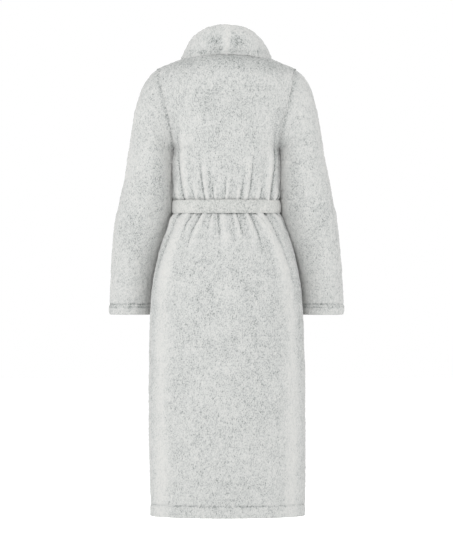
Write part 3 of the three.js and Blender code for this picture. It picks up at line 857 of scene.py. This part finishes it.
def spline_step(points, at):
    """The place at a share, from 0 to 1, of a smooth curve through the rows of points."""
    count = len(points) - 1
    i = min(int(at * count), count - 1)
    t = at * count - i
    before = points[i - 1] if i > 0 else 2 * points[0] - points[1]
    after = points[i + 2] if i < count - 1 else 2 * points[count] - points[count - 1]
    a, b = points[i], points[i + 1]

    def gap(p, q):
        return np.sqrt(np.linalg.norm(q - p, axis=-1, keepdims=True)).clip(1e-4)

    d0, d1, d2 = gap(before, a), gap(a, b), gap(b, after)
    m0 = ((a - before) / d0 - (b - before) / (d0 + d1) + (b - a) / d1) * d1
    m1 = ((b - a) / d1 - (after - a) / (d1 + d2) + (after - b) / d2) * d1
    rise = (2 * t**3 - 3 * t**2 + 1) * a + (3 * t**2 - 2 * t**3) * b
    return rise + (t**3 - 2 * t**2 + t) * m0 + (t**3 - t**2) * m1


# Down the front: heights, how far across the panel the collar's outer edge lies at each, and how
# far it stands off the panel
COLLAR_LEVELS = np.array([-0.032, -0.054, SHOULDER_START, -0.110, -0.150, -0.225, -0.305])
COLLAR_SHARES = np.array([0.44, 0.54, 0.60, 0.63, 0.6, 0.5, 0.36])
COLLAR_RESTS = np.array([0.008, 0.008, 0.005, 0.003, 0.003, 0.003, 0.003])


def on_front(side, share, level, lift):
    share, level, lift = np.broadcast_arrays(share, level, lift)
    flat = front_points(share, level)
    raised = overlap_lift(-flat[..., 0], level) if side == "right" else 0
    return front_points(share, level, lift + raised)


def collar_lines(side):
    """Four lines of points from the middle of the back, over the shoulder and down the front."""
    seam = [(0, 0.064, 0.0092), (0.052, 0.052, 0.011), (0.084, 0.008, 0.0145), (0.079, -0.038, 0.009)]
    roll = [(0, 0.070, 0.080), (0.046, 0.060, 0.074), (0.087, 0.014, 0.046), (0.084, -0.042, 0.026)]
    fall = [(0, 0.080, 0.044), (0.055, 0.071, 0.040), (0.100, 0.018, 0.023), (0.106, -0.038, 0.012)]
    edge = [(0, 0.0665, 0.0085), (0.062, 0.059, 0.003), (0.106, 0.018, -0.006)]
    edge.append(tuple(on_front(side, 0.34, -0.012, 0.004)))
    return [
        np.concatenate([seam, on_front(side, -0.015, COLLAR_LEVELS, -0.001)]),
        np.concatenate([roll, on_front(side, 0.01, COLLAR_LEVELS, 0.009)]),
        np.concatenate([fall, on_front(side, COLLAR_SHARES / 2, COLLAR_LEVELS, COLLAR_RESTS)]),
        np.concatenate([edge, on_front(side, COLLAR_SHARES, COLLAR_LEVELS, COLLAR_RESTS)]),
    ]


COLLAR_LENGTH = 0.48
COLLAR_ACROSS = 0.15
COLLAR_STEP = 0.0028
COLLAR_LAP = 0.0025  # how far each half reaches past the middle, so that their pile meets
COLLAR_END = {"left": 0.93, "right": 1.0}  # the share of the lines that each half covers
ROLL_RADIUS = 0.0035  # how much wider than a crease the roll is made, and where along its two sides
RISING_SHARE = 0.86
FALLING_SHARE = 0.22


def collar_folds(points):
    x, y = points[..., 0], points[..., 1]
    behind = smoothstep(y, 0.0, 0.02)
    raised = 0.0014 * noise(points * np.array([1, 1, 1.6]), 0.03, 51)
    raised = raised + 0.0013 * behind * noise(points, 0.009, 52)
    centre = bump(x, 0.007) * behind
    raised = np.clip(raised, -0.0004, None) + 0.0010 * centre
    parting_and_shading = 0.62 * spot(points, 0.030, 0.042, 0.020, 0.013) * behind
    parting_and_shading = parting_and_shading + 0.35 * spot(points, 0.075, 0.014, 0.040, 0.006) * behind
    parting_and_shading = parting_and_shading + 0.30 * spot(points, 0.020, 0.020, 0.030, 0.010) * behind
    return raised, parting_and_shading - 0.30 * centre - 0.12


def collar(side, seed):
    along = samples(COLLAR_LENGTH, COLLAR_STEP)
    across = samples(COLLAR_ACROSS, COLLAR_STEP)
    lines = collar_lines(side)
    last = COLLAR_END[side]
    seam, roll, fall, edge = (
        np.array([spline_step(line, lerp(0.001, last, share)) for share in along]) for line in lines
    )
    across_roll = fall - seam
    across_roll /= np.linalg.norm(across_roll, axis=1, keepdims=True)
    rising = lerp(seam, roll, RISING_SHARE) - ROLL_RADIUS * across_roll
    falling = lerp(roll, fall, FALLING_SHARE) + 0.6 * ROLL_RADIUS * across_roll
    section = np.array([seam, rising, roll, falling, fall, edge])
    points = np.array([spline_step(section, share) for share in across])
    points[..., 0] -= COLLAR_LAP * (1 - smoothstep(along * COLLAR_LENGTH, 0, 0.015))
    ragged = noise(points * np.array([1, 1, 0]), 0.007, 53) * smoothstep(across, 0.85, 1)[:, None]
    points[..., 2] += 0.0016 * ragged
    if side == "right":
        points = mirrored(points)
    sizes = (along * COLLAR_LENGTH, across * COLLAR_ACROSS)
    name = side + "_collar_cloth"
    obj = sheet_object(name, points, 0, CLOTH, sizes, folds=collar_folds, seed=seed)
    finish_sheet(obj, plush, "robe_body")
    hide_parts(side + "_collar")


# Belt, knot and tails

KNOT_ANGLE = math.radians(40.5)  # where the knot is, round the body from the middle of the front
KNOT_HALF_ANGLE = math.radians(9)
KNOT_HALF_SIZES = (0.0172, 0.0104, 0.0192)  # across, outwards and up
BELT = 0.004  # the belt's thickness
BELT_LENGTH = 0.75  # its length round the waist


def belt_lift(angle):
    """How far the belt stands off the body, which is more where the right front lies over the left."""
    x = body_half_width(WAIST_Z) * np.sin(angle)
    lap = overlap_lift(x, WAIST_Z) * (1 - smoothstep(x, OVERLAP + 0.003, OVERLAP + 0.030))
    return 0.002 + np.where(np.cos(angle) < 0, 0, lap)


def belt_folds(points):
    x, z = points[..., 0], points[..., 2]
    across = np.clip(np.abs(z - WAIST_Z) / (BELT_WIDTH / 2), 0, 1)
    raised = 0.0020 * (1 - across**2)
    raised = raised + 0.0010 * noise(points * np.array([0.5, 0.5, 1]), 0.012, 61)
    ends = smoothstep(np.abs(x), 0.060, 0.125)
    # a painted highlight where the belt turns away round the body's sides, and darker pile in its
    # middle
    return raised, 0.10 - 0.30 * ends + 0.12 * bump(x, 0.045)


def belt_strip():
    around = samples(BELT_LENGTH, 0.0026)
    up = samples(BELT_WIDTH, 0.0022)
    first = KNOT_ANGLE + KNOT_HALF_ANGLE
    last = 2 * math.pi + KNOT_ANGLE - KNOT_HALF_ANGLE
    angle = lerp(first, last, around)[None, :] * np.ones((len(up), 1))
    points = around_points(angle, WAIST_Z, belt_lift(angle))
    uneven = 0.0012 * noise(points * np.array([1, 1, 0]), 0.009, 62)
    points[..., 2] = lerp(BELT_LOW_Z, BELT_TOP_Z, up)[:, None] + uneven
    sizes = (around * BELT_LENGTH, up * BELT_WIDTH)
    obj = sheet_object("belt_strip", points, 0, BELT, sizes, folds=belt_folds, pile=BELT_PILE, seed=14)
    finish_sheet(obj, belt_plush, "robe_body")
    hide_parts("belt")


def knot_points(ball):
    """The knot's surface and how its pile lies, with painted shade in the crossing's grooves, from the
    points of a ball of radius 1.
    """
    local = np.sign(ball) * np.abs(ball) ** 0.75 * np.array(KNOT_HALF_SIZES)
    slope = local[:, 0] * 0.8 + local[:, 2] * 0.6
    crossing = bump(slope - 0.007, 0.0022) + bump(slope + 0.008, 0.0022)
    wraps = np.sin(slope / 0.0016) * 0.0003
    from_middle = np.linalg.norm(local, axis=1)
    grown = 1 + (wraps - 0.0022 * crossing * (ball[:, 1] > -0.6)) / from_middle
    height = pile_height(local, 15)
    grown = grown + 0.0013 * (height - 0.5) / from_middle
    # painted shade in the grooves where the belt's ends cross
    return local * grown[:, None], np.clip(0.5 + 0.3 * height - 0.3 * crossing, 0, 1)


def knot():
    """The half knot: a crowned pad with the crossing of the belt's two ends pressed into it."""
    low, high = (np.array(corner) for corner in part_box("belt_knot"))
    body = bmesh.new()
    bmesh.ops.create_icosphere(body, subdivisions=6, radius=1)
    mesh = bpy.data.meshes.new("tied_knot")
    body.to_mesh(mesh)
    body.free()
    local, laid_and_shaded = knot_points(np.array([v.co for v in mesh.vertices]))
    side = np.array([math.cos(KNOT_ANGLE), math.sin(KNOT_ANGLE), 0])
    out = np.array([math.sin(KNOT_ANGLE), -math.cos(KNOT_ANGLE), 0])
    place = local[:, :1] * side + local[:, 1:2] * out + local[:, 2:] * np.array([0, 0, 1])
    mesh.vertices.foreach_set("co", (place + (low + high) / 2).ravel())
    obj = finish_mesh(mesh, laid_and_shaded)
    mesh.materials.append(belt_plush)
    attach(obj, "robe_body")
    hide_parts("belt_knot")


TAIL_ANGLES = {"right": math.radians(32), "left": math.radians(49)}
TAIL_TOP_Z = WAIST_Z - 0.025
TAIL_TOP_WIDTH = 0.020
TAIL_LIFT = 0.022  # how far the tails stand off the body, clear of the pockets


def sideways_at(angle, z):
    """The level direction along the body's surface."""
    step = around_points(angle + 0.01, z) - around_points(angle - 0.01, z)
    return step / np.linalg.norm(step, axis=-1, keepdims=True)


def tail_folds(points):
    raised = 0.001 * noise(points, 0.02, 71)
    return raised, 0 * raised


def belt_tail(side, seed):
    length = TAIL_TOP_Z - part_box(side + "_belt_tail")[0].z
    across = samples(BELT_WIDTH, 0.0024)
    up = samples(length, 0.003)
    fallen = (1 - up)[:, None] * length * np.ones((1, len(across)))
    z = TAIL_TOP_Z - fallen
    width = lerp(TAIL_TOP_WIDTH, BELT_WIDTH, smoothstep(fallen, 0, 0.07))
    angle = TAIL_ANGLES[side]
    towards = lerp(lerp(angle, KNOT_ANGLE, 0.45), angle, smoothstep(fallen, 0, 0.09))
    middle = around_points(towards, z, lerp(0.005, TAIL_LIFT, smoothstep(fallen, 0, 0.13)))
    offset = (across[None, :] - 0.5) * width
    sideways = sideways_at(towards, z)
    points = middle + sideways * offset[..., None]
    crown = 0.0012 * (1 - (2 * across[None, :] - 1) ** 2) * np.ones_like(z)
    points = points + crown[..., None] * np.cross(sideways, [0, 0, 1])
    sizes = (across * BELT_WIDTH, up * length)
    name = side + "_tail_strip"
    obj = sheet_object(name, points, 0, BELT, sizes, folds=tail_folds, pile=BELT_PILE, seed=seed)
    finish_sheet(obj, belt_plush, side + "_tail")
    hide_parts(side + "_belt_tail")


# Patch pockets

POCKET_WIDTH = 0.10
POCKET_STEP = 0.003
POCKET_ROOM = 0.012  # how far a pocket stands off the panel in its middle
POCKET_BAND = 0.026
POCKET_ANGLES = (0.45, 1.0)  # where a pocket's two sides lie, round the body from its front


def pocket(side, seed):
    across = samples(POCKET_WIDTH, POCKET_STEP)
    up = samples(POCKET_HEIGHT, POCKET_STEP)
    u, v = np.meshgrid(across, up)
    from_edge = np.minimum(smoothstep(u, 0, 0.12), smoothstep(1 - u, 0, 0.12))
    room = POCKET_ROOM * np.minimum(from_edge, smoothstep(v, 0, 0.12))
    z = POCKET_TOP_Z - POCKET_HEIGHT * (1 - v)
    points = around_points(lerp(*POCKET_ANGLES, u), z, 0.002 + room)
    if side == "right":
        points = mirrored(points)
    sizes = (across * POCKET_WIDTH, up * POCKET_HEIGHT)

    def folds(at):
        stitch = bump(at[..., 2] - (POCKET_TOP_Z - POCKET_BAND), 0.0026)
        return -0.002 * stitch + 0.0012 * noise(at, 0.03, 81), 0.8 * stitch

    name = side + "_pocket_cloth"
    obj = sheet_object(name, points, 0, CLOTH - 0.001, sizes, folds=folds, seed=seed)
    finish_sheet(obj, plush, "robe_body")
    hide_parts(side + "_pocket", side + "_pocket_hem")


# Tapes, ties, facing and labels

INSIDE = -CLOTH - 0.001  # just inside the panels' inner face
TAPE_STEP = 0.002
FACING_STEP = 0.003
TAPE_RELIEF = 0.0001


def ribbon(name, points, inside, outside, size, body, material, slot, *nodes):
    """A narrow tape or a label, of the size (width, length) in metres."""
    rows, columns = points.shape[:2]
    sizes = (size[0] * np.linspace(0, 1, columns), size[1] * np.linspace(0, 1, rows))
    obj = sheet_object(name, points, inside, outside, sizes, pile=TAPE_RELIEF)
    obj.data.materials.append(material)
    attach(obj, body)
    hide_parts(*nodes)


def tape_grid(size, step=TAPE_STEP):
    """Shares across and along a tape, as two grids."""
    return np.meshgrid(samples(size[0], step), samples(size[1], step))


def belt_loop(side):
    size = (0.012, 0.060)
    reach = BELT_WIDTH / 2 + 0.009
    u, v = tape_grid(size)
    z = WAIST_Z + lerp(-reach, reach, v)
    over = 1 - smoothstep(np.abs(z - WAIST_Z), BELT_WIDTH / 2, reach - 0.002)
    points = around_points(math.pi / 2 + lerp(-0.13, -0.06, u), z, -0.003 + 0.0105 * over)
    if side == "right":
        points = mirrored(points)
    ribbon(side + "_loop_tape", points, 0, RIBBON, size, "robe_body", loop_cord, "tape",
           side + "_belt_loop")


def neck_facing():
    size = (0.16, 0.12)
    u, v = tape_grid(size, FACING_STEP)
    points = back_points(lerp(0.37, -0.37, u), lerp(-0.095, -0.008, v))
    face = INSIDE - 0.002
    ribbon("neck_facing_cloth", points, face - RIBBON, face, size, "robe_body", tape, "tape",
           "back_neck_facing")


def labels():
    size = (0.055, 0.032)
    u, v = tape_grid(size)
    face = INSIDE - 0.0055
    points = back_points(lerp(0.13, -0.13, u), lerp(-0.090, -0.066, v))
    ribbon("blank_neck_label", points, face - 0.001, face, size, "robe_body", label_cloth,
           "label_cloth", "neck_label")
    size = (0.022, 0.060)
    u, v = tape_grid(size)
    points = front_points(lerp(0.84, 0.91, u), lerp(-0.960, -0.900, v))
    ribbon("blank_care_label", points, INSIDE - 0.004, INSIDE - 0.003, size, "robe_body", label_cloth,
           "label_cloth", "care_label")


def shoulder_stay(side):
    size = (0.014, 0.088)
    u, v = tape_grid(size)
    points = shoulder_seam(lerp(0.12, 0.9, v), lerp(0.007, -0.007, u))
    if side == "right":
        points = mirrored(points)
    face = INSIDE - 0.002
    ribbon(side + "_shoulder_stay", points, face - RIBBON, face, size, "robe_body", tape, "tape",
           side + "_shoulder_tape")


def inner_tie(side, angle):
    size = (0.010, 0.200)
    u, v = tape_grid(size)
    z = WAIST_Z - size[1] * (1 - v)
    points = around_points(angle, z) + sideways_at(angle, z) * ((u - 0.5) * size[0])[..., None]
    face = INSIDE - 0.001
    ribbon(side + "_tie_tape", points, face - RIBBON, face, size, "robe_body", tape, "tape",
           side + "_inner_tie")


def hanging_loop():
    low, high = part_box("hanger_loop")
    half_width = (high.x - low.x) / 2
    drop = high.z - low.z
    width = 0.008
    size = (0.085, width)
    u, v = tape_grid(size)
    turn = lerp(-math.pi, 0, u)
    x = (half_width - width * v) * np.cos(turn)
    z = high.z + (drop - width * v) * np.sin(turn)
    points = vectors(x, high.y, z)
    ribbon("hanging_loop_tape", points, -RIBBON, 0, size, "hanger_loop", tape, "tape", "hanger_loop")


def back_pieces():
    """The two sheets of the back, which overlap out of sight under the belt."""
    upper = back_piece("back_upper_cloth", WAIST_Z - 0.008, 0, UPPER_BACK_WIDTH, UPPER_BACK_STEP,
                       2)
    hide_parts("back_panel")
    skirt = back_piece("back_skirt_cloth", HEM_Z, WAIST_Z + 0.006, SKIRT_WIDTH, SKIRT_STEP,
                       3)
    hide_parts("back_hem")


back_pieces()
left_front()
right_front()
for number, side in enumerate(("left", "right")):
    sleeve(side, 8 + number)
    collar(side, 10 + number)
    belt_tail(side, 16 + number)
    pocket(side, 18 + number)
    belt_loop(side)
    shoulder_stay(side)
belt_strip()
knot()
neck_facing()
labels()
inner_tie("left", math.radians(-14))
inner_tie("right", math.radians(-76))
hanging_loop()
